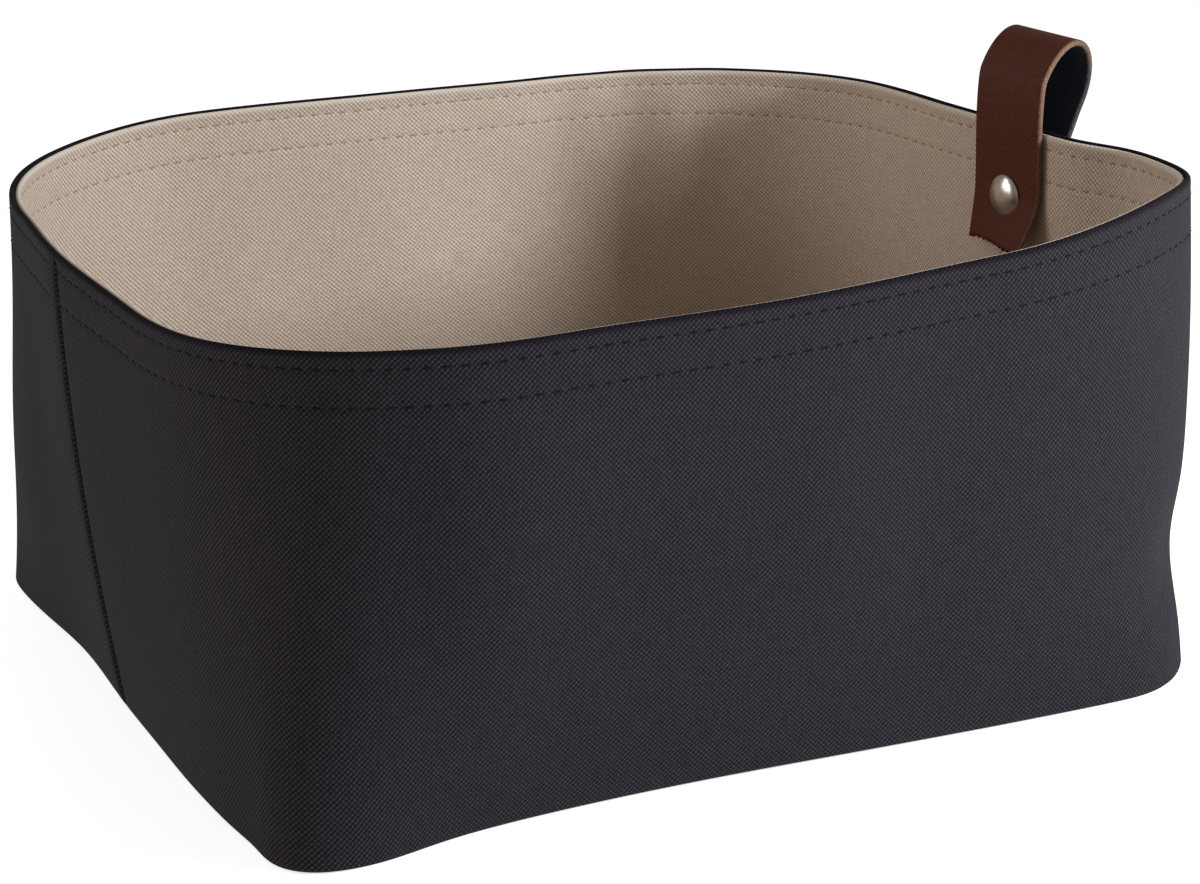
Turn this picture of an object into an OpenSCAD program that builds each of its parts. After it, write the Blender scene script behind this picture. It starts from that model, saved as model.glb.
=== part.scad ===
// Soft rectangular storage bin: canvas outside, canvas lining inside, one leather pull loop.
// The origin is the middle of the base on the floor, +X runs towards the loop end,
// +Y towards the back and +Z up. All sizes are in millimetres.

/* [Bin] */
// Length of the base, end to end
base_l = 305; // [290:1:320]
// Depth of the base, front to back
base_d = 270; // [255:1:280]
// Corner radius of the base
base_r = 30; // [24:1:40]
// Height of the rim above the floor
height = 143; // [135:1:155]
// Reach of the rim to the left of the middle
rim_left = 164; // [158:1:170]
// Reach of the rim to the right of the middle
rim_right = 162; // [158:1:170]
// Half depth of the rim
rim_half_d = 145; // [140:1:150]
// Corner radius of the rim, where the soft corners open out
rim_r = 92; // [85:1:98]
// Angle by which the loop end turns away from square, in degrees
end_yaw = 8; // [4:1:10]

/* [Cloth] */
// Thickness of the outer canvas
canvas_t = 1.0; // [0.8:0.1:1.2]
// Thickness of the felt between canvas and lining
felt_t = 1.2; // [0.8:0.1:1.6]
// Thickness of the lining canvas
lining_t = 0.8; // [0.6:0.1:1.0]
// Thickness of the stiff board in the base
board_t = 2.0; // [1.5:0.1:2.5]
// Depth of the upper row of stitches below the rim
upper_row = 5; // [4:0.5:7]
// Depth of the lower row of stitches below the rim
lower_row = 16; // [13:0.5:18]

/* [Leather loop] */
// Width of the strap
strap_w = 32; // [28:1:36]
// Thickness of the strap
strap_t = 2.0; // [1.6:0.1:2.4]
// Height of the bow above the rim
bow_h = 28.5; // [26:0.5:32]
// Reach of the strap's tails below the rim
tail_drop = 38.5; // [36:0.5:44]
// Depth of the rivet below the rim
rivet_drop = 22.5; // [20:0.5:26]
// Distance of the strap's middle from the middle of the end, towards the front
loop_shift = 4.5; // [0:0.5:8]
// Diameter of the domed rivet cap
cap_d = 14.5; // [12:0.5:16]
// Height of the domed rivet cap
cap_h = 2.8; // [2:0.1:3.5]
// Diameter of the rivet's back head
head_d = 10; // [8:0.5:12]
// Diameter of the rivet's post
post_d = 4.0; // [3:0.1:5]

/* [Hidden] */

canvas_color = [0.17, 0.165, 0.18];
lining_color = [0.72, 0.63, 0.54];
felt_color = [0.85, 0.84, 0.80];
board_color = [0.55, 0.45, 0.33];
dark_thread_color = [0.09, 0.085, 0.09];
tan_thread_color = [0.50, 0.38, 0.27];
leather_color = [0.29, 0.15, 0.11];
nickel_color = [0.72, 0.70, 0.67];

// Gap between two layers of cloth, and half the gap between the two half panels
layer_gap = 0.1;
seam_gap = 0.1;
// Insets of the layers from the outside of the bin
felt_out = canvas_t + layer_gap;
felt_in = felt_out + felt_t;
lining_out = felt_in + layer_gap;
wall_t = lining_out + lining_t;
// The felt stops short of the rim, inside the fold
felt_top = height - 2;
board_z = canvas_t + layer_gap;
lining_z = board_z + board_t + layer_gap;
slice = 0.5;
// The base corners lean in as they rise, so the flat layers are drawn in a little with height
corner_lean = 0.25;
past = 1;
reach = 250;

// Each level of the bin is four corner circles: [centre x, centre y, radius]
mid_z = height - 48;
mid_r = 68;
mid_left = 159;
mid_half_d = 138;
mid_y = mid_half_d - mid_r;
// Distance of the flat loop end from the origin, along its own normal
rim_right_x = rim_right - rim_r;
rim_y = rim_half_d - rim_r;
end_dist = cos(end_yaw) * rim_right_x - sin(end_yaw) * rim_y + rim_r;
// Centre x of a corner circle that touches the loop end
function end_x(y, r) = (end_dist - r - sin(end_yaw) * y) / cos(end_yaw);

base_level = [
    for (sx = [-1, 1], sy = [-1, 1])
        [sx * (base_l / 2 - base_r), sy * (base_d / 2 - base_r), base_r]
];
mid_level = [
    [mid_r - mid_left, -mid_y, mid_r],
    [mid_r - mid_left, mid_y, mid_r],
    [end_x(-mid_y, mid_r), -mid_y, mid_r],
    [end_x(mid_y, mid_r), mid_y, mid_r]
];
rim_level = [
    [rim_r - rim_left, -rim_y, rim_r],
    [rim_r - rim_left, rim_y, rim_r],
    [end_x(-rim_y, rim_r), -rim_y, rim_r],
    [end_x(rim_y, rim_r), rim_y, rim_r]
];

// Stitches lie in a shallow band on the cloth
thread_lift = 0.05;
thread_t = 0.25;
thread_h = 0.8;
seam_row_y = -3;

// The topstitch stops this far under the strap's tails
seam_row_clear = 2;
seam_row_h = height - lower_row - 2 * canvas_t;
under_strap = tail_drop - lower_row + seam_row_clear;

// The loop's own frame has its origin on the outer canvas at the rivet, +X out of the bin
strap_clear = 0.65;
inner_x = -(wall_t + strap_clear + strap_t / 2);
outer_x = strap_clear + strap_t / 2;
tail_z = rivet_drop - tail_drop;
post_clear = 0.06;
head_t = 1.2;
head_taper = 1;
cap_outline = [for (a = [0:9:90]) [cap_d / 2 * cos(a), cap_h * sin(a)]];
// The tails end below the rim and the bow's legs start above it, so the strap can flex between them
inner_tail_top = rivet_drop - 0.5;
outer_tail_top = rivet_drop - 5;
leg_z = rivet_drop + 5;
// The outer tail lies flat up to the bend, then eases off the wall towards the bow's outer leg
outer_tail_bend = 8;
outer_tail_ease_x = 1.2;
outer_tail_ease_z = 4;
outer_tail_x = 6;

// The bow's centre line is a half ellipse between its two legs, leaning outwards
bow_rx = 9.2;
bow_lean = 4;
bow_mid_h = 13;
bow_cx = inner_x + bow_rx;
bow_cz = rivet_drop + bow_mid_h;
bow_rz = bow_h - bow_mid_h - strap_t / 2;
bow_leg_out_x = outer_x + 8.2;
bow_line = concat(
    [[inner_x, leg_z]],
    [
        for (a = [174:-12:-30])
            [bow_cx + bow_rx * cos(a) + bow_lean * sin(a), bow_cz + bow_rz * sin(a)]
    ],
    [[bow_leg_out_x, leg_z]]
);
outer_tail_line = [
    [outer_x, tail_z], [outer_x, 0], [outer_x, outer_tail_bend],
    [outer_x + outer_tail_ease_x, outer_tail_bend + outer_tail_ease_z],
    [outer_tail_x, outer_tail_top]
];

function unit(v) = v / norm(v);
function side(v) = [-v[1], v[0]];
function direction(line, i) =
    unit(line[min(i + 1, len(line) - 1)] - line[max(i - 1, 0)]);
// Outline of a strap of thickness t along a centre line
function strap_outline(line, t) = concat(
    [for (i = [0:len(line) - 1]) line[i] + side(direction(line, i)) * t / 2],
    [for (i = [len(line) - 1:-1:0]) line[i] - side(direction(line, i)) * t / 2]
);

module level_ring(level, z, inset, thick = slice) {
    for (c = level)
        translate([c[0], c[1], z])
            rotate(end_yaw)
                cylinder(r = c[2] - inset, h = thick, $fn = 32);
}

// The closed shape of the whole bin, drawn in by an inset
module bag(inset) {
    hull() {
        level_ring(base_level, 0, inset);
        level_ring(mid_level, mid_z, inset);
    }
    hull() {
        level_ring(mid_level, mid_z, inset);
        level_ring(rim_level, height - slice, inset);
    }
}

// The same shape, running past the rim and the base to cut them open
module bag_cutter(inset) {
    bag(inset);
    hull() level_ring(base_level, -past, inset, past + slice);
    hull() level_ring(rim_level, height - slice, inset, past + slice);
}

// One layer of cloth round the bin, between two insets and two heights, on one side of the end seams
module wall_layer(out, inn, z0, z1, back) {
    intersection() {
        difference() {
            bag(out);
            bag_cutter(inn);
            rivet_hole();
        }
        translate([-reach, back ? seam_gap : -reach, z0])
            cube([2 * reach, reach - seam_gap, z1 - z0]);
    }
}

// A flat layer of the base, clear of the layer round it
module base_layer(inset, z, t) {
    hull() level_ring(base_level, z, inset + corner_lean * (z + t), t);
}

// A shallow band of thread on one face of the wall
module thread_band(out, inn, depth) {
    intersection() {
        difference() {
            bag(out);
            bag(inn);
        }
        translate([-reach, -reach, height - depth - thread_h / 2])
            cube([2 * reach, 2 * reach, thread_h]);
    }
}

module outer_thread(depth) {
    thread_band(-thread_lift - thread_t, -thread_lift, depth);
}

module lining_thread(depth) {
    thread_band(wall_t + thread_lift, wall_t + thread_lift + thread_t, depth);
}

// A vertical row of thread beside an end seam, from the lower rim row down to the base
module seam_thread(end) {
    intersection() {
        difference() {
            bag(-thread_lift - thread_t);
            bag(-thread_lift);
        }
        translate([end > 0 ? 0 : -reach, seam_row_y - thread_h / 2, canvas_t])
            cube([reach, thread_h, end > 0 ? seam_row_h - under_strap : seam_row_h]);
    }
}

module at_rivet() {
    translate([end_dist / cos(end_yaw), 0, height - rivet_drop])
        rotate(end_yaw)
            translate([0, -loop_shift, 0])
                children();
}

module along_wall_normal() {
    rotate([0, 90, 0])
        children();
}

module rivet_hole() {
    at_rivet()
        along_wall_normal()
            translate([0, 0, -wall_t - past])
                cylinder(d = post_d + 2 * post_clear, h = wall_t + 2 * past, $fn = 48);
}

module strap(line) {
    rotate([90, 0, 0])
        linear_extrude(strap_w, center = true)
            polygon(strap_outline(line, strap_t));
}

module outer_front_panel() {
    color(canvas_color)
        wall_layer(0, canvas_t, 0, height, false);
}

module outer_back_panel() {
    color(canvas_color)
        wall_layer(0, canvas_t, 0, height, true);
}

module outer_base_panel() {
    color(canvas_color)
        base_layer(felt_out, 0, canvas_t);
}

module front_interlining() {
    color(felt_color)
        wall_layer(felt_out, felt_in, lining_z, felt_top, false);
}

module back_interlining() {
    color(felt_color)
        wall_layer(felt_out, felt_in, lining_z, felt_top, true);
}

module base_board() {
    color(board_color)
        base_layer(felt_out, board_z, board_t);
}

module lining_front_panel() {
    color(lining_color)
        wall_layer(lining_out, wall_t, lining_z, height, false);
}

module lining_back_panel() {
    color(lining_color)
        wall_layer(lining_out, wall_t, lining_z, height, true);
}

module lining_base_panel() {
    color(lining_color)
        base_layer(wall_t + layer_gap, lining_z, lining_t);
}

module upper_row_outer_thread() {
    color(dark_thread_color)
        outer_thread(upper_row);
}

module upper_row_lining_thread() {
    color(tan_thread_color)
        lining_thread(upper_row);
}

module lower_row_outer_thread() {
    color(dark_thread_color)
        outer_thread(lower_row);
}

module lower_row_lining_thread() {
    color(tan_thread_color)
        lining_thread(lower_row);
}

module left_seam_thread() {
    color(dark_thread_color)
        seam_thread(-1);
}

module right_seam_thread() {
    color(dark_thread_color)
        seam_thread(1);
}

module leather_loop_tails() {
    color(leather_color)
        at_rivet()
            difference() {
                union() {
                    strap([[inner_x, tail_z], [inner_x, inner_tail_top]]);
                    strap(outer_tail_line);
                }
                along_wall_normal()
                    translate([0, 0, inner_x - strap_t])
                        cylinder(d = post_d, h = outer_x - inner_x + 2 * strap_t, $fn = 48);
            }
}

module leather_loop_bow() {
    color(leather_color)
        at_rivet()
            strap(bow_line);
}

module rivet_cap() {
    color(nickel_color)
        at_rivet()
            translate([inner_x - strap_t / 2, 0, 0])
                rotate([0, -90, 0])
                    rotate_extrude($fn = 64)
                        polygon(concat([[0, 0]], cap_outline));
}

module rivet_post() {
    color(nickel_color)
        at_rivet()
            along_wall_normal() {
                translate([0, 0, inner_x - strap_t / 2])
                    cylinder(d = post_d, h = outer_x - inner_x + strap_t, $fn = 48);
                translate([0, 0, outer_x + strap_t / 2])
                    cylinder(d1 = head_d, d2 = head_d - head_taper, h = head_t, $fn = 64);
            }
}

outer_front_panel();
outer_back_panel();
outer_base_panel();
front_interlining();
back_interlining();
base_board();
lining_front_panel();
lining_back_panel();
lining_base_panel();
upper_row_outer_thread();
upper_row_lining_thread();
lower_row_outer_thread();
lower_row_lining_thread();
left_seam_thread();
right_seam_thread();
leather_loop_tails();
leather_loop_bow();
rivet_cap();
rivet_post();
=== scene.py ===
"""Looks of a fabric storage bin: charcoal canvas, beige lining, and a riveted leather pull loop.

Shapes are worked out in millimetres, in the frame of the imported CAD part, and turned into metres when
a mesh is made. A place on the wall is (u, h). u runs once round the bag from the left seam, by way of
the front, so the right seam is at one half. h is the height above the base edge.
"""

import math

import bpy
import numpy as np
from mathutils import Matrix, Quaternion, Vector

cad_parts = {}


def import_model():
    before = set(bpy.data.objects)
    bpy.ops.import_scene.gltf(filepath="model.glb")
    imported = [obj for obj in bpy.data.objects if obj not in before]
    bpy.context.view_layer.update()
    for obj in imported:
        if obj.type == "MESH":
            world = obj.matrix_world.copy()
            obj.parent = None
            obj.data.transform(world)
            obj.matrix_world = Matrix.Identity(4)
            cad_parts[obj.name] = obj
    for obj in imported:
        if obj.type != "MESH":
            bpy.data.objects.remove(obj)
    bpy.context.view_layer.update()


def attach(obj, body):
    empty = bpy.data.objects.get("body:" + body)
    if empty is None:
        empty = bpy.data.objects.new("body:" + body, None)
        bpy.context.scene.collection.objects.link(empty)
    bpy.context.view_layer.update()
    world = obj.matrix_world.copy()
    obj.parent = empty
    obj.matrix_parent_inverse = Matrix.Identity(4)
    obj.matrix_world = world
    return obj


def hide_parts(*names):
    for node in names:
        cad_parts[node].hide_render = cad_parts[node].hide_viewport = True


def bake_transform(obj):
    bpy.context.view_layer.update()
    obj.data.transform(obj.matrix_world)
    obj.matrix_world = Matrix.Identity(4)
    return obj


MM = 0.001

# Bag
WALL_H = 143.0
RIM_CORNER = 92.0
RIM_CORNER_X = -72.0
RIM_CORNER_Y = 53.0
LOOP_WALL_X = 155.455
END_YAW = math.radians(8.0)
BASE_HALF_L = 152.5
BASE_HALF_D = 138.0
BASE_CORNERS = (15.0, 34.0, 26.0, 28.0)
# Soft pushes of the base edge: place, width of the place, and millimetres outwards
BASE_PUSHES = (
    (0.215, 0.070, -4.5),
    (0.955, 0.035, -3.0),
    (0.060, 0.030, 1.0),
    (0.106, 0.014, -1.5),
    (0.136, 0.022, 6.0),
    (0.385, 0.022, -2.0),
    (0.880, 0.020, -0.5),
    (0.500, 0.080, -1.5),
)
# Soft pushes of the wall: place, its width, height, its reach, and millimetres outwards
WALL_PUSHES = (
    (0.385, 0.022, 36.0, 17.0, -4.5),
    (0.413, 0.050, 95.0, 50.0, 2.5),
    (0.913, 0.050, 60.0, 52.0, 4.2),
    (0.262, 0.016, 88.0, 34.0, 0.9),
    (0.292, 0.013, 62.0, 40.0, -0.9),
    (0.330, 0.014, 100.0, 30.0, -0.8),
    (0.205, 0.014, 80.0, 45.0, -0.8),
    (0.170, 0.012, 60.0, 50.0, 0.8),
    (0.148, 0.009, 95.0, 40.0, -0.9),
    (0.440, 0.012, 70.0, 50.0, -0.9),
    (0.785, 0.016, 95.0, 32.0, 1.0),
    (0.745, 0.014, 90.0, 40.0, -1.0),
    (0.845, 0.016, 100.0, 36.0, -1.1),
)
SEAM_BASE_Y = -5.0
FRONT_EDGE_LIFT = 0.4
TURN_R = 2.0
# Outwards and upwards slack of the rim, at each sixteenth of the way round
RIM_OUT = (-1, -5, 6, 5, 3, -1, 2.6, 7.3, 0, 1, -2, -1, 0, -1, -4, -6)
RIM_UP = (-2, -5.2, -1.3, 0, -0.3, 2, 7, 1, 1, 1, 0, -1, 0, 1, -1, -2)

# The rim keeps its plain shape beside the strap: how far, and over what distance the slack returns
RIM_ROUND = 1030.0
STRAP_CLEAR = 24.0
STRAP_FADE = 26.0

# Layers, as depths from the outside of the wall
CANVAS = (0.0, 1.0)
FELT = (1.1, 2.3)
LINING = (2.4, 3.2)
# Layers of the base, as heights: bottom and top
BASE_CANVAS = (0.0, 1.0)
BASE_STIFFENER = (1.1, 3.1)
BASE_LINING = (3.2, 4.0)
UPPER_ROW = 5.0
LOWER_ROW = 15.5
STITCH_PITCH = 5.0
RING = 1632
COLUMNS = 816

# Side seams
TOPSTITCH_OFF = 3.2
SEAM_STITCH = 4.2

# Loop, in its own frame: x outwards and z upwards from the rivet
LOOP_Z = 120.5
LOOP_SHIFT = 4.5
STRAP_W = 32.0
STRAP_T = 2.0
INNER_LEG_X = -4.85
OUTER_LEG_X = 1.65


# ---------------------------------------------------------------- bag shape


def rounded_outline(corners, steps=90):
    """Outline round corner circles (x, y, radius), counterclockwise seen from above."""
    normals = []
    for k, (ax, ay, ar) in enumerate(corners):
        bx, by, br = corners[(k + 1) % len(corners)]
        heading = math.atan2(by - ay, bx - ax)
        tilt = math.asin((ar - br) / math.hypot(bx - ax, by - ay))
        normals.append(heading - math.pi / 2 + tilt)
    points = []
    for k, (cx, cy, r) in enumerate(corners):
        first, last = normals[k - 1], normals[k]
        while last < first:
            last += 2 * math.pi
        angle = np.linspace(first, last, steps)
        points.append(np.c_[cx + r * np.cos(angle), cy + r * np.sin(angle)])
    return np.vstack(points)


def half_round(points, count, left_y=0.0):
    """A closed outline as count points, evenly along its front half and along its back half.

    The halves meet at height left_y on the left, and at 0 on the right.
    """
    closed = np.vstack([points, points[:1]])
    run = np.r_[0, np.cumsum(np.hypot(*np.diff(closed, axis=0).T))]
    marks = {}
    for i in range(len(points)):
        level = left_y if closed[i, 0] < 0 else 0.0
        y0, y1 = closed[i, 1] - level, closed[i + 1, 1] - level
        if (y0 < 0) != (y1 < 0):
            marks[closed[i, 0] < 0] = run[i] + (run[i + 1] - run[i]) * y0 / (y0 - y1)
    left, right = marks[True], marks[False]
    total = run[-1]
    front = np.linspace(0, (right - left) % total, count // 2, endpoint=False)
    back = np.linspace(0, (left - right) % total, count // 2, endpoint=False)
    along = np.r_[left + front, right + back] % total
    return np.c_[np.interp(along, run, closed[:, 0]), np.interp(along, run, closed[:, 1])]


def eased(ring, width):
    """A closed ring with its sudden changes of curvature smoothed over that width in millimetres."""
    step = np.hypot(*(ring[1] - ring[0]))
    wave = np.fft.fftfreq(len(ring), step)
    soft = np.exp(-0.5 * (2 * np.pi * wave * width) ** 2)
    return np.real(np.fft.ifft(np.fft.fft(ring, axis=0) * soft[:, None], axis=0))


def through(values, u):
    """Smooth closed curve through values that are evenly spaced round the bag."""
    values = np.asarray(values, float)
    place = np.asarray(u) * len(values)
    whole = np.floor(place).astype(int)
    f = place - whole
    a, b, c, d = (values[(whole + k) % len(values)] for k in (-1, 0, 1, 2))
    return b + 0.5 * f * (c - a + f * (2 * a - 5 * b + 4 * c - d + f * (3 * (b - c) + d - a)))


def rim_ring():
    """Outline of the rim, with its slack, which fades out next to the strap."""
    reach = LOOP_WALL_X * math.cos(END_YAW) - RIM_CORNER
    y = RIM_CORNER_Y
    near = (reach + math.sin(END_YAW) * y) / math.cos(END_YAW)
    far = (reach - math.sin(END_YAW) * y) / math.cos(END_YAW)
    corners = [(RIM_CORNER_X, -y), (near, -y), (far, y), (RIM_CORNER_X, y)]
    ring = half_round(rounded_outline([(cx, cy, RIM_CORNER) for cx, cy in corners]), RING)
    u = np.arange(RING) / RING
    clear = np.clip((np.abs(near_u(u, 0.5)) * RIM_ROUND - STRAP_CLEAR) / STRAP_FADE, 0, 1)
    slack = through(RIM_OUT, u) * clear * clear * (3 - 2 * clear)
    return eased(ring + outward_of(ring) * slack[:, None], 4.0)


def outward_of(ring):
    """Unit normals of a closed ring, pointing outwards."""
    along = np.roll(ring, -1, 0) - np.roll(ring, 1, 0)
    along /= np.hypot(*along.T)[:, None]
    return np.c_[along[:, 1], -along[:, 0]]


def base_ring():
    """Outline of the base: rounded corners, and edges that are pushed in and out a little."""
    front_left, front_right, back_right, back_left = BASE_CORNERS
    length, depth = BASE_HALF_L, BASE_HALF_D
    corners = [
        (front_left - length, front_left - depth, front_left),
        (length - front_right, front_right - depth, front_right),
        (length - back_right, depth - back_right, back_right),
        (back_left - length, depth - back_left, back_left),
    ]
    ring = eased(half_round(rounded_outline(corners), RING, SEAM_BASE_Y), 4.0)
    u = np.arange(RING) / RING
    push = sum(amount * bump(near_u(u, place), 0, width) for place, width, amount in BASE_PUSHES)
    return ring + outward_of(ring) * push[:, None]


def on_ring(ring, u):
    """Points of a closed ring at any u."""
    place = (np.asarray(u) % 1) * RING
    whole = np.floor(place).astype(int)
    f = (place - whole)[..., None]
    return ring[whole % RING] * (1 - f) + ring[(whole + 1) % RING] * f


def bump(x, centre, width):
    """A smooth hill of height 1."""
    return np.exp(-(((x - centre) / width) ** 2))


def near_u(u, centre):
    """Distance from centre in u, the short way round."""
    return (np.asarray(u) - centre + 0.5) % 1 - 0.5


RIM = rim_ring()
BASE = base_ring()
AROUND = np.r_[0, np.cumsum(np.hypot(*np.diff(np.vstack([RIM, RIM[:1]]), axis=0).T))]


def wall_push(u, h):
    """How far the soft wall stands out from its straight shape."""
    push = 0.9 * np.cos(near_u(u, 0.66) * 2 * np.pi / 0.03)
    push = push * bump(near_u(u, 0.66), 0, 0.035) * bump(h, 118, 30)
    for place, width, height, reach, amount in WALL_PUSHES:
        push = push + amount * bump(near_u(u, place), 0, width) * bump(h, height, reach)
    return push


def wall_point(u, h):
    """Outside of the outer canvas at (u, h)."""
    u, h = np.broadcast_arrays(np.asarray(u, float), np.asarray(h, float))
    v = h / WALL_H
    share = 1 - (1 - v) ** 1.8
    base, rim = on_ring(BASE, u), on_ring(RIM, u)
    flat = base + (rim - base) * share[..., None]
    ahead, behind = on_ring(RIM, u + 0.002), on_ring(RIM, u - 0.002)
    along = ahead - behind
    along /= np.hypot(along[..., 0], along[..., 1])[..., None]
    outwards = np.stack([along[..., 1], -along[..., 0]], -1)
    turn = np.clip(1 - h / TURN_R, 0, 1)
    under = TURN_R * (1 - np.sqrt(1 - turn ** 2))
    flat = flat + outwards * (wall_push(u, h) - under)[..., None]
    front = bump(near_u(u, 0.25), 0, 0.09)
    z = h + through(RIM_UP, u) * v ** 2 + FRONT_EDGE_LIFT * front * (1 - v) ** 3
    return np.concatenate([flat, z[..., None]], -1)


def wall_frame(u, h):
    """Point, direction round the bag, direction up, and outward normal at (u, h)."""
    u, h = np.broadcast_arrays(np.asarray(u, float), np.asarray(h, float))
    round_ = wall_point(u + 0.0012, h) - wall_point(u - 0.0012, h)
    up = wall_point(u, np.minimum(h + 0.6, WALL_H)) - wall_point(u, np.maximum(h - 0.6, 0))
    normal = np.cross(round_, up)
    return (wall_point(u, h), *(d / np.linalg.norm(d, axis=-1)[..., None] for d in (round_, up, normal)))


# ---------------------------------------------------------------- meshes


def make_mesh(name, points, faces, material, lay=None):
    """A smooth mesh object from points in millimetres. lay is each point's place on its material."""
    mesh = bpy.data.meshes.new(name)
    mesh.from_pydata((np.asarray(points) * MM).tolist(), [], faces)
    mesh.polygons.foreach_set("use_smooth", [True] * len(mesh.polygons))
    if lay is not None:
        attribute = mesh.attributes.new("lay", "FLOAT_VECTOR", "POINT")
        attribute.data.foreach_set("vector", np.asarray(lay, np.float32).ravel())
    mesh.materials.append(material)
    mesh.update()
    piece = bpy.data.objects.new(name, mesh)
    bpy.context.scene.collection.objects.link(piece)
    return piece


def shell_faces(rows, columns):
    """Faces of a thin closed slab: a grid on its outside, the same grid inside, and its four edges."""
    count = rows * columns
    outside = np.arange(count).reshape(rows, columns)
    inside = outside + count
    faces = []
    for grid, flip in ((outside, False), (inside, True)):
        a, b, c, d = grid[:-1, :-1], grid[:-1, 1:], grid[1:, 1:], grid[1:, :-1]
        quads = np.stack([a, b, c, d] if not flip else [a, d, c, b], -1).reshape(-1, 4)
        faces += quads.tolist()
    edges = [
        (outside[0], inside[0], True),
        (outside[-1], inside[-1], False),
        (outside[:, 0], inside[:, 0], False),
        (outside[:, -1], inside[:, -1], True),
    ]
    for out, ins, flip in edges:
        quads = np.stack([out[:-1], out[1:], ins[1:], ins[:-1]], -1)
        faces += (quads[:, ::-1] if flip else quads).tolist()
    return faces


def wall_panel(name, material, half, rows, dents, columns):
    """One half of one layer of the wall. rows holds (h, outer depth, inner depth).

    The third number of lay marks where light is painted on the cloth: the folded edge at the top, and on
    the outside also the line of the side seams.
    """
    steps = columns // 2
    u = 0.5 * half + np.linspace(0, 0.5, steps + 1)
    h, outer, inner = (np.array(c)[:, None] for c in zip(*rows))
    u_grid, h_grid = np.broadcast_arrays(u[None, :], h)
    point, _, _, normal = wall_frame(u_grid, h_grid)
    dent_out, dent_in = dents(u_grid, h_grid)
    outside = point - normal * (outer + dent_out)[..., None]
    inside = point - normal * (inner - dent_in)[..., None]
    s = np.interp(u, np.arange(RING + 1) / RING, AROUND)
    # mask for painted light: the folded top edge, and on the outer canvas the side-seam line, where a
    # painted shade stands in for the groove
    fold = np.clip((h_grid - rows[-1][0] + 1.5) / 0.6, 0, 1)
    if name.startswith("outer"):
        joint = np.abs((u_grid + 0.25) % 0.5 - 0.25) * AROUND[-1]
        fold = np.maximum(fold, bump(joint, 0, 0.9))
    lay = np.stack(np.broadcast_arrays(s[None, :] * MM, h_grid * MM, fold), -1)
    points = np.concatenate([outside.reshape(-1, 3), inside.reshape(-1, 3)])
    lays = np.concatenate([lay.reshape(-1, 3)] * 2)
    return make_mesh(name, points, shell_faces(len(rows), steps + 1), material, lays)


def body_rows(first, last, step, near, fine):
    """Heights from first to last: coarse below near, fine above it."""
    coarse = list(np.arange(first, near, step))
    return coarse + list(np.arange(near, last, fine))


def round_top(top, outer, inner, depth_out, depth_in):
    """Rows that fold a layer over at its top: depths spread to (outer, inner), then close in an arc."""
    r = (inner - outer) / 2
    halfway = ((outer + depth_out) / 2, (inner + depth_in) / 2)
    rows = [(top - r - 2.5, depth_out, depth_in), (top - r - 1.2, *halfway)]
    for angle in np.radians((0, 22, 45, 66, 84)):
        back = r - r * math.cos(angle)
        rows.append((top - r + r * math.sin(angle), outer + back, inner - back))
    return rows


def stitch_marks(u, h):
    """Depth of the groove and the needle holes of the two rim rows."""
    s = np.interp(np.asarray(u) % 1, np.arange(RING + 1) / RING, AROUND)
    holes = 0.65 + 0.6 * np.cos(np.pi * s / STITCH_PITCH) ** 8
    groove = bump(h, WALL_H - UPPER_ROW, 0.8) + bump(h, WALL_H - LOWER_ROW, 0.8)
    return 0.26 * groove * holes


def seam_marks(u):
    """Groove of the two side seams, and the folded allowance that lifts the cloth behind them."""
    mark = 0
    for centre in (0.0, 0.5):
        s = near_u(u, centre) * AROUND[-1]
        side = -1 if centre == 0 else 1
        allowance = np.clip(side * s / 0.8, 0, 1) * np.clip((8.0 - side * s) / 2.5, 0, 1)
        mark = mark + 0.9 * bump(s, 0, 1.0) - 0.8 * allowance
    return mark


def outer_dents(u, h):
    fade = np.clip((WALL_H - 2.0 - h) / 2.0, 0, 1) * np.clip((h - 1.0) / 4.0, 0, 1)
    seam = seam_marks(u) * fade
    topstitch = 0
    for centre, side in ((0.0, -1), (0.5, 1)):
        s = near_u(u, centre) * AROUND[-1]
        topstitch = topstitch + 0.5 * bump(side * s, TOPSTITCH_OFF, 0.8)
    return stitch_marks(u, h) + seam + topstitch * fade, 0 * h


def lining_dents(u, h):
    s = (np.abs(near_u(u, 0.0)), np.abs(near_u(u, 0.5)))
    groove = 0.5 * (bump(s[0] * AROUND[-1], 0, 0.8) + bump(s[1] * AROUND[-1], 0, 0.8))
    fade = np.clip((WALL_H - 3.0 - h) / 2.0, 0, 1)
    return 0 * h, stitch_marks(u, h) + groove * fade


def no_dents(u, h):
    return 0 * h, 0 * h


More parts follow.
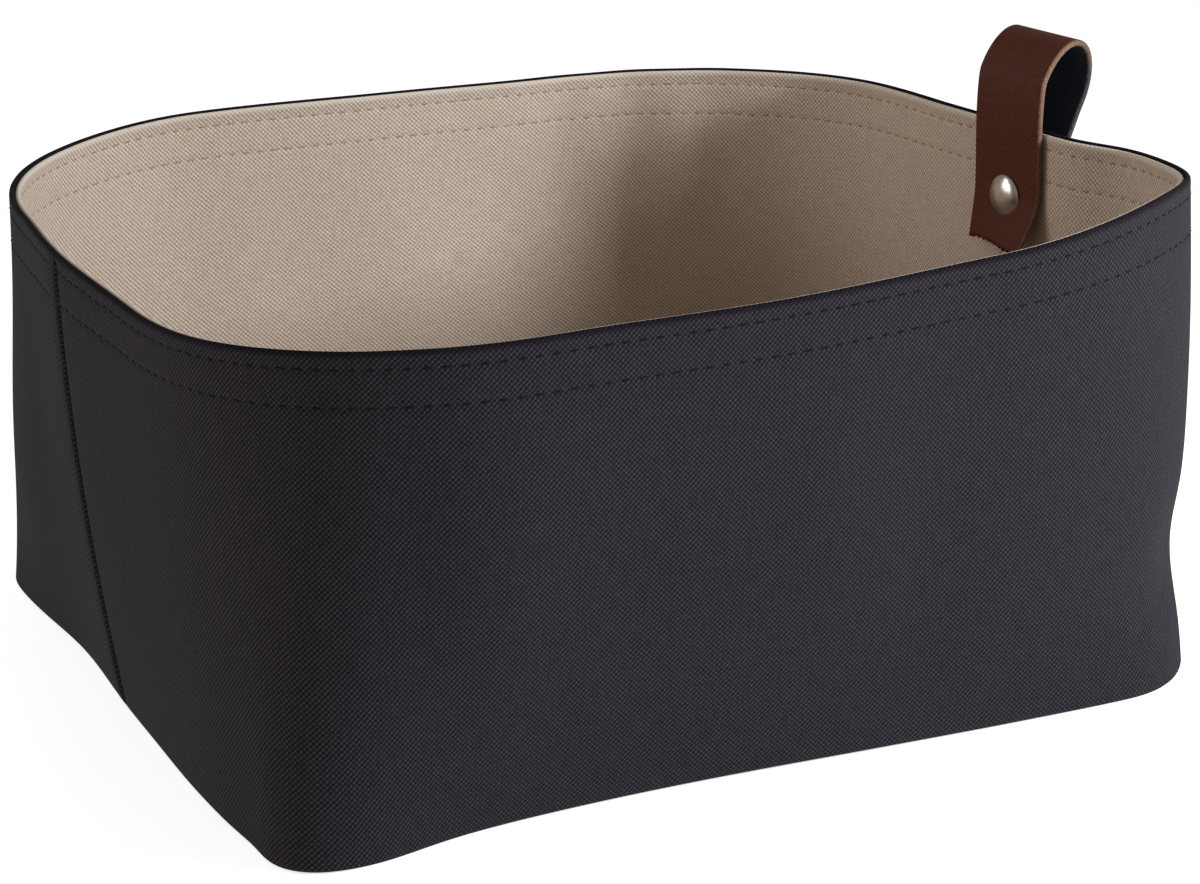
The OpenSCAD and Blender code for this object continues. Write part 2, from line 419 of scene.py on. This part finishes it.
def base_sheet(name, material, inset, low, high, curl=0.0, sag=0.0):
    """One layer of the base, between two heights, with its edge turned up by curl."""
    count, rings = 204, 16
    u = np.arange(count) / count
    ring = on_ring(BASE, u)
    along = on_ring(BASE, u + 0.002) - on_ring(BASE, u - 0.002)
    along /= np.hypot(*along.T)[:, None]
    edge = ring - np.c_[along[:, 1], -along[:, 0]] * inset
    lift = FRONT_EDGE_LIFT * bump(near_u(u, 0.25), 0, 0.09)
    points, lays = [], []
    share = 1 - (np.arange(rings) / (rings - 0.2)) ** 1.6
    share[1] = 0.985
    for z in (high, low):
        for k in share:
            close = np.clip((k - 0.88) / 0.12, 0, 1) ** 2
            height = z + lift * k ** 6 + curl * close + sag * np.sin(3 * np.pi * k)
            level = np.c_[edge * k, np.broadcast_to(height, count)]
            points.append(level)
            lays.append(level * MM)
    rim = [(a, (a + 1) % count) for a in range(count)]
    faces = []
    for k in range(rings - 1):
        top, low_ = k * count, (rings + k) * count
        faces += [(top + a, top + b, top + count + b, top + count + a) for a, b in rim]
        faces += [(low_ + b, low_ + a, low_ + count + a, low_ + count + b) for a, b in rim]
    faces += [(b, a, rings * count + a, rings * count + b) for a, b in rim]
    middle = np.vstack(points)
    centre_top, centre_low = len(middle), len(middle) + 1
    points.append(np.array([[0, 0, high], [0, 0, low]], float))
    lays.append(np.zeros((2, 3)))
    top, low_ = (rings - 1) * count, (2 * rings - 1) * count
    faces += [(top + a, top + b, centre_top) for a, b in rim]
    faces += [(low_ + b, low_ + a, centre_low) for a, b in rim]
    return make_mesh(name, np.vstack(points), faces, material, np.vstack(lays))


def thread_row(name, material, centres, length, r, sink):
    """A row of stitches. centres holds (point, along, outward) arrays, one line each for every stitch."""
    sides, rings = 8, 7
    t = np.linspace(-1, 1, rings)
    ring_r = r * np.sqrt(np.clip(1 - (0.97 * t) ** 6, 0, 1))
    drop = sink * t ** 2
    angle = np.arange(sides) * 2 * math.pi / sides
    point, along, outward = centres
    across = np.cross(along, outward)
    ring = np.cos(angle)[None, :, None] * across[:, None, :]
    ring = ring + np.sin(angle)[None, :, None] * outward[:, None, :]
    points = (
        point[:, None, None, :]
        + along[:, None, None, :] * (t * length / 2)[None, :, None, None]
        - outward[:, None, None, :] * drop[None, :, None, None]
        + ring[:, None, :, :] * ring_r[None, :, None, None]
    ).reshape(-1, 3)
    one = []
    for k in range(rings - 1):
        for a in range(sides):
            b = (a + 1) % sides
            one.append((k * sides + a, k * sides + b, (k + 1) * sides + b, (k + 1) * sides + a))
    one.append(tuple(reversed(range(sides))))
    one.append(tuple(range((rings - 1) * sides, rings * sides)))
    size = sides * rings
    faces = [tuple(i + k * size for i in f) for k in range(len(point)) for f in one]
    lay = np.stack(np.broadcast_arrays(*(points[:, i] * MM for i in range(3))), -1)
    return make_mesh(name, points, faces, material, lay)


def rim_row(name, material, drop, depth, side):
    """Stitches along the rim. side is 1 on the outside, and -1 on the lining."""
    count = int(round(AROUND[-1] / STITCH_PITCH))
    s = (np.arange(count) + 0.5) * AROUND[-1] / count
    u = np.interp(s, AROUND, np.arange(RING + 1) / RING)
    point, along, _, normal = wall_frame(u, np.full(count, WALL_H - drop))
    return thread_row(name, material, (point - normal * depth, along, normal * side), 3.3, 0.3, 0.42)


def seam_row(name, material, centre, side):
    """Topstitches beside a side seam, from the base to under the rim."""
    h = np.arange(5.0, WALL_H - 7.0, SEAM_STITCH)
    u = np.full(len(h), centre + side * TOPSTITCH_OFF / AROUND[-1])
    point, _, up, normal = wall_frame(u, h)
    return thread_row(name, material, (point - normal * 0.1, up, normal), 3.0, 0.36, 0.42)


# ---------------------------------------------------------------- loop


def loop_axes():
    """Outward, sideways and origin of the loop's own frame."""
    out = np.array([math.cos(END_YAW), math.sin(END_YAW), 0.0])
    side = np.array([-math.sin(END_YAW), math.cos(END_YAW), 0.0])
    return out, side, np.array([LOOP_WALL_X, 0.0, LOOP_Z]) - side * LOOP_SHIFT


def strap_path():
    """Middle line of the strap from the end of the inner tail, over the bow, to the outer tail's end."""
    points = [(INNER_LEG_X, z) for z in np.linspace(-15.2, 27.5, 24)]
    for a in np.radians(np.linspace(174, -26, 56)):
        points.append((4.6 + 9.4 * math.cos(a) + 4.6 * math.sin(a), 35.9 + 14.9 * math.sin(a)))
    outer = [(9.9, 27.5), (8.6, 23.5), (7.0, 20), (5.0, 16.5), (3.2, 12.8), (2.1, 10), (OUTER_LEG_X, 7)]
    outer += [(OUTER_LEG_X, z) for z in np.linspace(5, -16, 12)]
    path = np.array(points + outer)
    for _ in range(3):
        path[1:-1] = 0.25 * path[:-2] + 0.5 * path[1:-1] + 0.25 * path[2:]
    return path


def strap(material):
    """The leather strap as one unbroken band, its lower ends curling off the wall."""
    path = strap_path()
    tangent = np.gradient(path, axis=0)
    tangent /= np.hypot(*tangent.T)[:, None]
    outer_side = np.c_[-tangent[:, 1], tangent[:, 0]]
    run = np.r_[0, np.cumsum(np.hypot(*np.diff(path, axis=0).T))]
    half_w, half_t, soft = STRAP_W / 2, STRAP_T / 2, 0.75
    section, kind = strap_section(half_w, half_t, soft)
    out, side, origin = loop_axes()
    points, lays = [], []
    for k, (centre, face) in enumerate(zip(path, outer_side)):
        for (y, d), mark in zip(section, kind):
            x, z = centre + face * d
            x, y2, z = tail_curl(x, y, z, run[k], run[-1])
            points.append(origin + out * x + side * y2 + np.array([0, 0, z]))
            lays.append(((y + half_w) * MM, run[k] * MM, mark))
    n, rows = len(section), len(path)
    faces = []
    for k in range(rows - 1):
        for a in range(n):
            b = (a + 1) % n
            faces.append((k * n + a, k * n + b, (k + 1) * n + b, (k + 1) * n + a))
    faces.append(tuple(reversed(range(n))))
    faces.append(tuple(range((rows - 1) * n, rows * n)))
    return make_mesh("leather_strap", points, faces, material, lays)


def strap_section(half_w, half_t, soft):
    """Section across the strap as (across, towards the grain side).

    Each point has a mark: 0 for grain, 1 for the edge and 2 for flesh.
    """
    section, kind = [], []
    for y in np.linspace(-half_w + soft, half_w - soft, 21):
        section.append((y, half_t))
        kind.append(0.0)
    for a in np.radians((70, 35, 0, -35, -70)):
        section.append((half_w - soft + soft * math.cos(a), half_t * math.sin(a)))
        kind.append(1.0)
    for y in np.linspace(half_w - soft, -half_w + soft, 21):
        section.append((y, -half_t))
        kind.append(2.0)
    for a in np.radians((-70, -35, 0, 35, 70)):
        section.append((-half_w + soft - soft * math.cos(a), half_t * math.sin(a)))
        kind.append(1.0)
    return section, kind


def tail_curl(x, y, z, run, total):
    """Bends the lower ends off the wall, most at the near corner, and makes their cut a little uneven."""
    low_in = np.clip((17.0 - run) / 17.0, 0, 1)
    low_out = np.clip((12.0 - (total - run)) / 12.0, 0, 1)
    near = np.clip(0.5 - y / STRAP_W, 0, 1)
    x = x - low_in ** 1.4 * (2.4 + 6.6 * near ** 1.3) + low_out ** 1.6 * (0.6 + 2.0 * near)
    cut = 0.45 * math.sin(y * 1.9) + 0.3 * math.sin(y * 4.3 + 1)
    z = z + cut * (low_in ** 4 + low_out ** 4)
    return x, y, z


def lathe(name, material, profile, base, axis, steps=64):
    """A turned piece: profile holds (radius, distance along axis from base)."""
    axis = np.asarray(axis, float)
    helper = np.array([0.0, 0.0, 1.0])
    first = np.cross(axis, helper)
    first /= np.linalg.norm(first)
    second = np.cross(axis, first)
    angle = np.arange(steps) * 2 * math.pi / steps
    around = np.cos(angle)[:, None] * first + np.sin(angle)[:, None] * second
    points = [base + axis * profile[0][1]]
    for r, along in profile[1:-1]:
        points += list(base + axis * along + around * r)
    points.append(base + axis * profile[-1][1])
    faces = []
    rings = len(profile) - 2
    last = len(points) - 1
    for a in range(steps):
        b = (a + 1) % steps
        faces.append((0, 1 + b, 1 + a))
        for k in range(rings - 1):
            low, high = 1 + k * steps, 1 + (k + 1) * steps
            faces.append((low + a, low + b, high + b, high + a))
        faces.append((last, 1 + (rings - 1) * steps + a, 1 + (rings - 1) * steps + b))
    points = np.array(points)
    return make_mesh(name, points, faces, material, points * MM)


def rivet_cap(material):
    out, _, origin = loop_axes()
    dome = [(0, 0.0), (6.4, 0.0), (7.0, 0.05), (7.25, 0.3), (7.2, 0.62), (6.95, 0.85)]
    for a in np.radians(np.linspace(20, 86, 12)):
        dome.append((7.3 * math.cos(a), 2.8 * math.sin(a)))
    dome.append((0, 2.8))
    return lathe("rivet_cap_dome", material, dome, origin - out * 5.85, -out)


def rivet_post(material):
    out, _, origin = loop_axes()
    shank = [(0, -8.4), (1.7, -8.4), (2.0, -8.1), (2.0, 0.0)]
    head = [(4.4, 0.0), (4.9, 0.12), (5.0, 0.4), (4.8, 0.8), (4.2, 1.05), (2.6, 1.2), (1.2, 1.0), (0, 0.95)]
    post = shank + head
    return lathe("rivet_post_head", material, post, origin + out * 2.65, out)


# ---------------------------------------------------------------- materials


class Graph:
    """Short names for adding shader nodes to one material."""

    def __init__(self, name):
        self.material = bpy.data.materials.new(name)
        self.material.use_nodes = True
        self.tree = self.material.node_tree
        self.shader = self.tree.nodes["Principled BSDF"]

    def node(self, kind, inputs=None, **settings):
        made = self.tree.nodes.new(kind)
        for key, value in settings.items():
            setattr(made, key, value)
        for key, value in (inputs or {}).items():
            self.feed(made.inputs[key], value)
        return made

    def feed(self, socket, value):
        if isinstance(value, bpy.types.NodeSocket):
            self.tree.links.new(value, socket)
        else:
            socket.default_value = value

    def math(self, operation, a, b=0.0, c=0.0, clamp=False):
        inputs = {0: a, 1: b, 2: c}
        return self.node("ShaderNodeMath", inputs, operation=operation, use_clamp=clamp).outputs[0]

    def mix(self, share, a, b, blend="MIX"):
        made = self.node("ShaderNodeMix", data_type="RGBA", blend_type=blend)
        self.feed(made.inputs["Factor"], share)
        self.feed(made.inputs["A"], a)
        self.feed(made.inputs["B"], b)
        return made.outputs["Result"]

    def noise(self, where, scale, detail=3.0, roughness=0.5):
        inputs = {"Vector": where, "Scale": scale, "Detail": detail, "Roughness": roughness}
        return self.node("ShaderNodeTexNoise", inputs).outputs["Fac"]

    def lay(self):
        place = self.node("ShaderNodeAttribute", attribute_name="lay")
        split = self.node("ShaderNodeSeparateXYZ", {0: place.outputs["Vector"]})
        return place.outputs["Vector"], split.outputs

    def bump(self, height, distance, strength=1.0, after=None):
        inputs = {"Height": height, "Distance": distance, "Strength": strength}
        made = self.node("ShaderNodeBump", inputs)
        if after is not None:
            self.feed(made.inputs["Normal"], after)
        return made.outputs["Normal"]

    def set(self, **values):
        for key, value in values.items():
            self.feed(self.shader.inputs[key.replace("_", " ")], value)


def grey(value):
    return (value, value, value, 1.0)


def scaled(g, where, x, y, z=1.0):
    return g.node("ShaderNodeVectorMath", {0: where, 1: (x, y, z)}, operation="MULTIPLY").outputs[0]


def canvas(name, dark, mid, light, pitch, relief, two_tone, folded, fold_painted_light_share, shine):
    """Plain-woven canvas: warp and weft pass over each other, with slubs and a soft mottle.

    The folded edge at the rim and the line of a side seam take the colour folded, by the share given; this
    is painted light, a painted shade on the dark outer canvas and a painted highlight on the lining's lip.
    """
    g = Graph(name)
    where, (s, t, fold) = g.lay()
    flat = scaled(g, where, 1, 1, 0)
    wander = g.math("MULTIPLY", g.math("SUBTRACT", g.noise(flat, 60.0), 0.5), pitch * 0.7)
    s2 = g.math("ADD", s, wander)
    t2 = g.math("SUBTRACT", t, wander)
    a = g.math("SINE", g.math("MULTIPLY", s2, math.pi / pitch))
    b = g.math("SINE", g.math("MULTIPLY", t2, math.pi / pitch))
    cells = g.math("MULTIPLY", a, b)
    slant = g.math("COSINE", g.math("MULTIPLY", g.math("SUBTRACT", s2, t2), math.pi / pitch))
    warp_up = g.math("MULTIPLY_ADD", cells, 2.2, 0.5, clamp=True)
    gaps = g.math("MULTIPLY", g.math("ABSOLUTE", a), g.math("ABSOLUTE", b))
    height = g.math("MULTIPLY_ADD", cells, 0.34, 0.42)
    height = g.math("ADD", height, g.math("MULTIPLY", slant, 0.16))
    height = g.math("ADD", height, g.math("MULTIPLY", gaps, 0.14), clamp=True)
    warp_slub = g.noise(scaled(g, flat, 1 / pitch, 0.12 / pitch), 1.0, 2.0)
    weft_slub = g.noise(scaled(g, flat, 0.12 / pitch, 1 / pitch), 1.0, 2.0)
    slub = g.node("ShaderNodeMix", {0: warp_up, 2: weft_slub, 3: warp_slub}).outputs[0]
    mottle = g.noise(flat, 18.0, 3.0)
    tone = g.math("MULTIPLY_ADD", slub, 0.8, -0.4)
    tone = g.math("ADD", tone, g.math("MULTIPLY_ADD", mottle, 0.16, -0.08))
    tone = g.math("ADD", tone, g.math("MULTIPLY_ADD", warp_up, two_tone, -two_tone / 2))
    # Colour follows the weave's height as well as its tone: the yarn crowns take a painted highlight and
    # the gaps between yarns a painted shade; slubs, mottle and two-tone are the cloth's own colour.
    level = g.math("ADD", height, tone, clamp=True)
    ramp = g.node("ShaderNodeValToRGB", {0: level})
    ramp.color_ramp.elements[0].color = dark
    ramp.color_ramp.elements[1].color = light
    ramp.color_ramp.elements.new(0.55).color = mid
    # painted light: the fold and seam-line mask mixes in the colour folded (painted shade on the outer
    # canvas, painted highlight on the lining)
    colour = g.mix(g.math("MULTIPLY", fold, fold_painted_light_share), ramp.outputs["Color"], folded)
    fuzz = g.noise(flat, 4000.0, 2.0)
    relief_of = g.math("ADD", height, g.math("MULTIPLY", slub, 0.4))
    normal = g.bump(g.math("MULTIPLY_ADD", fuzz, 0.25, relief_of), relief)
    rough = g.math("MULTIPLY_ADD", mottle, 0.15, 0.8)
    g.set(Base_Color=colour, Roughness=rough, Normal=normal)
    g.shader.inputs["Specular IOR Level"].default_value = shine
    g.shader.inputs["Sheen Weight"].default_value = 0.2 * shine
    g.shader.inputs["Sheen Roughness"].default_value = 0.5
    return g.material


def felt(name, dark, light):
    g = Graph(name)
    where, _ = g.lay()
    fibres = g.noise(where, 1500.0, 5.0, 0.7)
    cloud = g.noise(where, 120.0, 3.0)
    colour = g.mix(g.math("MULTIPLY_ADD", fibres, 0.7, g.math("MULTIPLY", cloud, 0.3)), dark, light)
    g.set(Base_Color=colour, Roughness=0.95, Normal=g.bump(fibres, 0.0003))
    return g.material


def board(name, dark, light):
    g = Graph(name)
    where, _ = g.lay()
    pulp = g.noise(scaled(g, where, 1, 2.5), 600.0, 6.0, 0.65)
    specks = g.noise(where, 2200.0, 1.0)
    colour = g.mix(pulp, dark, light)
    colour = g.mix(g.math("GREATER_THAN", specks, 0.68), colour, grey(0.12))
    g.set(Base_Color=colour, Roughness=g.math("MULTIPLY_ADD", pulp, 0.2, 0.7), Normal=g.bump(pulp, 0.0001))
    return g.material


def thread(name, dark, light):
    """Twisted sewing thread: fine slanting plies along each stitch."""
    g = Graph(name)
    where, _ = g.lay()
    coordinates = g.node("ShaderNodeTexCoord").outputs["Object"]
    settings = {"Vector": coordinates, "Scale": 420.0, "Distortion": 1.5}
    wave = g.node("ShaderNodeTexWave", settings, bands_direction="DIAGONAL")
    plies = wave.outputs["Fac"]
    shade = g.noise(where, 300.0, 2.0)
    share = g.math("MULTIPLY_ADD", plies, 0.6, g.math("MULTIPLY", shade, 0.4))
    g.set(Base_Color=g.mix(share, dark, light), Roughness=0.8, Normal=g.bump(plies, 0.0001))
    g.shader.inputs["Specular IOR Level"].default_value = 0.1
    return g.material


def leather(name):
    """Smooth brown leather: fine grain outside, tan raw edge, dark flesh side."""
    g = Graph(name)
    where, (across, along, kind) = g.lay()
    flat = g.node("ShaderNodeCombineXYZ", {0: across, 1: along, 2: 0.0}).outputs[0]
    settings = {"Vector": flat, "Scale": 1300.0}
    voronoi = g.node("ShaderNodeTexVoronoi", settings, feature="DISTANCE_TO_EDGE")
    cells = voronoi.outputs["Distance"]
    pebble = g.math("MINIMUM", g.math("MULTIPLY", cells, 3.0), 1.0)
    cloud = g.noise(flat, 110.0, 4.0)
    streak = g.noise(scaled(g, flat, 1.0, 0.18), 500.0, 4.0)
    creases = g.noise(scaled(g, flat, 0.25, 1.0), 420.0, 5.0, 0.65)
    share = g.math("MULTIPLY_ADD", cloud, 0.6, g.math("MULTIPLY", streak, 0.4))
    grain = g.mix(share, (0.058, 0.0112, 0.0044, 1), (0.112, 0.026, 0.0102, 1))
    grain = g.mix(g.math("MULTIPLY", g.math("SUBTRACT", 1.0, pebble), 0.3), grain, (0.035, 0.010, 0.005, 1))
    fibre = g.noise(flat, 1800.0, 4.0, 0.7)
    edge = g.mix(fibre, (0.055, 0.024, 0.014, 1), (0.24, 0.135, 0.085, 1))
    outer_leg = g.math("DIVIDE", g.math("SUBTRACT", along, 0.068), 0.02, clamp=True)
    edge = g.mix(outer_leg, edge, (0.022, 0.018, 0.020, 1))
    flesh = g.mix(fibre, (0.016, 0.020, 0.029, 1), (0.050, 0.058, 0.076, 1))
    is_flesh = g.math("SUBTRACT", kind, 1.0, clamp=True)
    is_edge = g.math("SUBTRACT", 1.0, g.math("ABSOLUTE", g.math("SUBTRACT", kind, 1.0)), clamp=True)
    is_edge = g.math("POWER", is_edge, 3.0)
    colour = g.mix(is_edge, g.mix(g.math("GREATER_THAN", is_flesh, 0.05), grain, flesh), edge)
    rough = g.math("MULTIPLY_ADD", is_flesh, 0.4, g.math("MULTIPLY_ADD", cloud, 0.2, 0.36), clamp=True)
    fine = g.bump(g.math("MULTIPLY_ADD", fibre, 0.3, pebble), 0.00012)
    normal = g.bump(creases, 0.0005, 0.6, after=fine)
    g.set(Base_Color=colour, Roughness=rough, Normal=normal)
    g.shader.inputs["Specular IOR Level"].default_value = 0.13
    return g.material


def nickel(name):
    """Satin nickel with faint turned and worn marks."""
    g = Graph(name)
    where, _ = g.lay()
    wear = g.noise(where, 700.0, 4.0)
    fine = g.noise(where, 5200.0, 2.0)
    rough = g.math("MULTIPLY_ADD", wear, 0.16, 0.14)
    colour = g.mix(wear, (0.42, 0.38, 0.35, 1), (0.62, 0.58, 0.54, 1))
    g.set(Base_Color=colour, Roughness=rough, Normal=g.bump(fine, 0.00002))
    g.shader.inputs["Metallic"].default_value = 1.0
    return g.material


def floor_paint():
    g = Graph("pale_floor")
    coordinates = g.node("ShaderNodeTexCoord").outputs["Object"]
    cloud = g.noise(coordinates, 3.0, 2.0)
    g.set(Base_Color=g.mix(cloud, grey(0.86), grey(0.90)), Roughness=0.6)
    g.shader.inputs["Emission Color"].default_value = grey(1.0)
    g.shader.inputs["Emission Strength"].default_value = 0.72
    return g.material


# ---------------------------------------------------------------- pieces


def declare(piece, nodes):
    """A piece of the bag: puts it on its body and hides the CAD nodes that it stands for."""
    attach(piece, "bin")
    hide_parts(*nodes)
    return piece


def build_walls(outer_cloth, lining_cloth, felt_cloth):
    heights = [0.0, 0.3, 0.7, 1.2, 1.9, 2.6, 3.6, 5.0, 7.0] + body_rows(10.0, 139.4, 3.5, 120.0, 0.55)
    outer_rows = [(h, *CANVAS) for h in heights]
    outer_rows += round_top(WALL_H, 0.0, 1.9, *CANVAS)
    lining_rows = [(h, *LINING) for h in heights if 3.6 <= h < 139.0]
    lining_rows += round_top(WALL_H - 0.5, 1.95, 3.5, *LINING)
    felt_rows = [(h, *FELT) for h in np.arange(5.0, 139.0, 6.0)]
    for half, side in ((0, "front"), (1, "back")):
        outer = wall_panel(f"outer_canvas_{side}", outer_cloth, half, outer_rows, outer_dents, COLUMNS)
        declare(outer, [f"outer_{side}_panel"])
        lining = wall_panel(f"lining_{side}", lining_cloth, half, lining_rows, lining_dents, COLUMNS)
        declare(lining, [f"lining_{side}_panel"])
        core = wall_panel(f"felt_{side}", felt_cloth, half, felt_rows, no_dents, COLUMNS // 4)
        declare(core, [f"{side}_interlining"])


def build_base(outer_cloth, lining_cloth, stiff):
    under = base_sheet("outer_canvas_base", outer_cloth, 1.6, *BASE_CANVAS)
    declare(under, ["outer_base_panel"])
    stiffener = base_sheet("base_stiffener", stiff, 4.4, *BASE_STIFFENER)
    declare(stiffener, ["base_board"])
    top = base_sheet("lining_base", lining_cloth, 2.4, *BASE_LINING, curl=1.2, sag=0.15)
    declare(top, ["lining_base_panel"])


def build_threads(dark, tan):
    rows = (("upper", UPPER_ROW), ("lower", LOWER_ROW))
    for name, drop in rows:
        outside = rim_row(f"rim_stitches_{name}_outside", dark, drop, 0.12, 1)
        declare(outside, [f"{name}_row_outer_thread"])
        inside = rim_row(f"rim_stitches_{name}_inside", tan, drop, LINING[1] - 0.12, -1)
        declare(inside, [f"{name}_row_lining_thread"])
    left = seam_row("seam_stitches_left", dark, 0.0, -1)
    declare(left, ["left_seam_thread"])
    right = seam_row("seam_stitches_right", dark, 0.5, 1)
    declare(right, ["right_seam_thread"])


def build_loop(hide, metal):
    band = strap(hide)
    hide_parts("leather_loop_tails", "leather_loop_bow")
    out, _, origin = loop_axes()
    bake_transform(band)
    for piece, node in ((rivet_cap(metal), "rivet_cap"), (rivet_post(metal), "rivet_post")):
        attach(piece, "loop_tails")
        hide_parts(node)


# ---------------------------------------------------------------- stage

CAMERA_PLACE = (-0.4221, -0.9482, 0.4006)
CAMERA_TARGET = (0.0050, -0.0057, 0.0598)
CAMERA_ROLL = -1.15
CAMERA_LENS = 105.0


def aim(thing, place, target, roll=0.0):
    back = Vector(place) - Vector(target)
    thing.location = place
    thing.rotation_mode = "QUATERNION"
    turn = Quaternion((0, 0, 1), math.radians(roll))
    thing.rotation_quaternion = (-back).to_track_quat("-Z", "Y") @ turn


def area_light(name, place, target, size, power, colour):
    data = bpy.data.lights.new(name, "AREA")
    data.shape = "RECTANGLE"
    data.size, data.size_y = size
    data.energy = power
    data.color = colour
    lamp = bpy.data.objects.new(name, data)
    bpy.context.scene.collection.objects.link(lamp)
    aim(lamp, place, target)


def build_stage():
    bpy.ops.mesh.primitive_circle_add(vertices=96, radius=30.0, fill_type="NGON", location=(0, 0, -0.0002))
    floor = bpy.context.object
    floor.name = "floor"
    floor.data.materials.append(floor_paint())
    world = bpy.data.worlds.new("studio")
    world.use_nodes = True
    world.node_tree.nodes["Background"].inputs["Color"].default_value = (1.0, 0.98, 0.96, 1)
    world.node_tree.nodes["Background"].inputs["Strength"].default_value = 0.27
    bpy.context.scene.world = world
    area_light("window", (0.478, -0.572, 0.355), (0, 0.05, 0.12), (0.15, 0.15), 8.5, (0.88, 0.95, 1.0))
    area_light("left_fill", (-1.2, 0.40, 0.50), (0, 0, 0.05), (0.7, 0.7), 6.0, (1.0, 0.97, 0.94))
    area_light("inside_fill", (-0.10, 0.11, 0.33), (0.15, -0.05, 0.12), (0.1, 0.1), 0.09, (1.0, 0.96, 0.91))


def build_camera():
    data = bpy.data.cameras.new("camera")
    data.sensor_width = 36.0
    data.lens = CAMERA_LENS
    data.clip_start, data.clip_end = 0.02, 50.0
    camera = bpy.data.objects.new("camera", data)
    bpy.context.scene.collection.objects.link(camera)
    aim(camera, CAMERA_PLACE, CAMERA_TARGET, roll=CAMERA_ROLL)
    bpy.context.scene.camera = camera


def main():
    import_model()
    bpy.context.scene.view_settings.view_transform = "Standard"
    build_camera()
    outer_cloth = canvas(
        "charcoal_canvas",
        (0.0070, 0.0057, 0.0074, 1),
        (0.0165, 0.0133, 0.0168, 1),
        (0.036, 0.030, 0.037, 1),
        pitch=0.0008,
        relief=0.00013,
        two_tone=0.06,
        # folded: painted shade on the rounded rim fold and in the side-seam groove
        folded=(0.004, 0.0035, 0.0045, 1),
        fold_painted_light_share=0.75,
        shine=0.04,
    )
    lining_cloth = canvas(
        "beige_canvas",
        (0.30, 0.216, 0.162, 1),
        (0.475, 0.376, 0.302, 1),
        (0.665, 0.56, 0.468, 1),
        pitch=0.0008,
        relief=0.00010,
        two_tone=0.05,
        # folded: painted highlight on the lining's lip, the top of the rim that faces the light
        folded=(0.64, 0.56, 0.47, 1),
        fold_painted_light_share=0.6,
        shine=0.12,
    )
    build_base(outer_cloth, lining_cloth, board("grey_board", grey(0.16), grey(0.34)))
    build_walls(outer_cloth, lining_cloth, felt("grey_felt", grey(0.12), grey(0.34)))
    dark = thread("dark_thread", (0.0015, 0.0013, 0.0018, 1), (0.008, 0.007, 0.009, 1))
    tan = thread("tan_thread", (0.24, 0.155, 0.10, 1), (0.44, 0.32, 0.225, 1))
    build_threads(dark, tan)
    build_loop(leather("brown_leather"), nickel("satin_nickel"))
    build_stage()


main()
